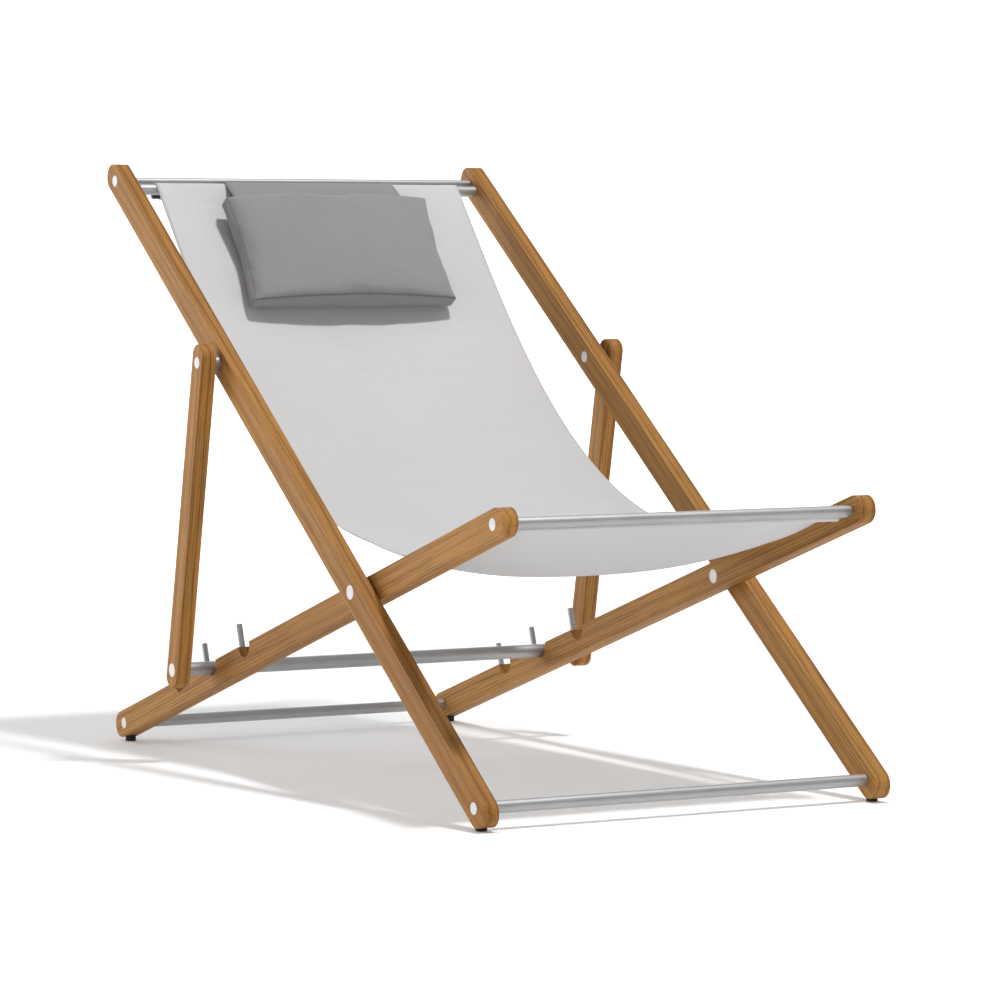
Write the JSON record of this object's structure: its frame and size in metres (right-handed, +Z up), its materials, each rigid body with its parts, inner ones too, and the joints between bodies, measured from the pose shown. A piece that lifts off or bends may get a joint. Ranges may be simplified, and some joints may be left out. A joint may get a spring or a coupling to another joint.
{
  "type": "folding deck chair",
  "caption": "Folding deck chair: crossed timber frames on pivots, a prop with three seat angles, a hung fabric sling and a head pillow.",
  "frame": {"origin": "on the ground, in the middle of the chair's footprint", "axes": "+Z up, -Y to the front of the chair, where the sitter's knees are, +X across the chair"},
  "size_m": [0.665, 1.1442, 0.832],
  "materials": {
    "teak": "oiled, satin",
    "steel": "brushed along the tube",
    "cap": "smooth matt",
    "rubber_foot": "matt",
    "nylon": "matt",
    "rod_black": "matt",
    "sling_cloth": "fine plain weave",
    "pillow_cloth": "fine plain weave"
  },
  "bodies": {
    "seat_frame": {"seat_rail_left": "teak", "seat_rail_right": "teak", "seat_front_tube": "steel", "seat_front_bar": "steel", "rear_foot_tube": "steel", "stop_pins_left": "steel", "stop_pins_right": "steel", "seat_tube_inserts": "steel", "seat_tube_screws": "steel", "seat_caps": "cap", "frame_pivot_bolts": "steel", "frame_pivot_nuts": "steel", "frame_pivot_washers": "nylon", "rear_feet": "rubber_foot", "rear_foot_screws": "steel", "sling_seat": "sling_cloth", "sling_rod_front": "rod_black"},
    "back_frame": {"back_rail_left": "teak", "back_rail_right": "teak", "top_bar": "steel", "sling_tube": "steel", "front_foot_tube": "steel", "back_tube_inserts": "steel", "back_bar_screws": "steel", "back_caps": "cap", "prop_spacers": "steel", "prop_pivot_bolts": "steel", "prop_pivot_nuts": "steel", "front_feet": "rubber_foot", "front_foot_screws": "steel", "sling_back": "sling_cloth", "sling_rod_top": "rod_black", "head_pillow": "pillow_cloth", "pillow_flap": "pillow_cloth", "flap_weight": "pillow_cloth"},
    "prop_frame": {"prop_left": "teak", "prop_right": "teak", "prop_tube": "steel", "prop_tube_inserts": "steel", "prop_tube_screws": "steel", "prop_pivot_heads": "steel", "prop_caps": "cap"}
  },
  "joints": [
    {"name": "back_fold", "type": "hinge", "parent": "seat_frame", "child": "back_frame", "pos_m": [0, -0.21661, 0.271], "axis": [-1, 0, 0], "range_deg": [0, 49.5], "deforming": ["sling_back"]},
    {"name": "prop_turn", "type": "hinge", "parent": "seat_frame", "child": "prop_frame", "pos_m": [0, 0.25536, 0.13105], "axis": [1, 0, 0], "range_deg": [0, 61]}
  ],
  "couplings": [
    {"joint": "prop_turn", "follows": "back_fold", "ratio": 1.232}
  ]
}
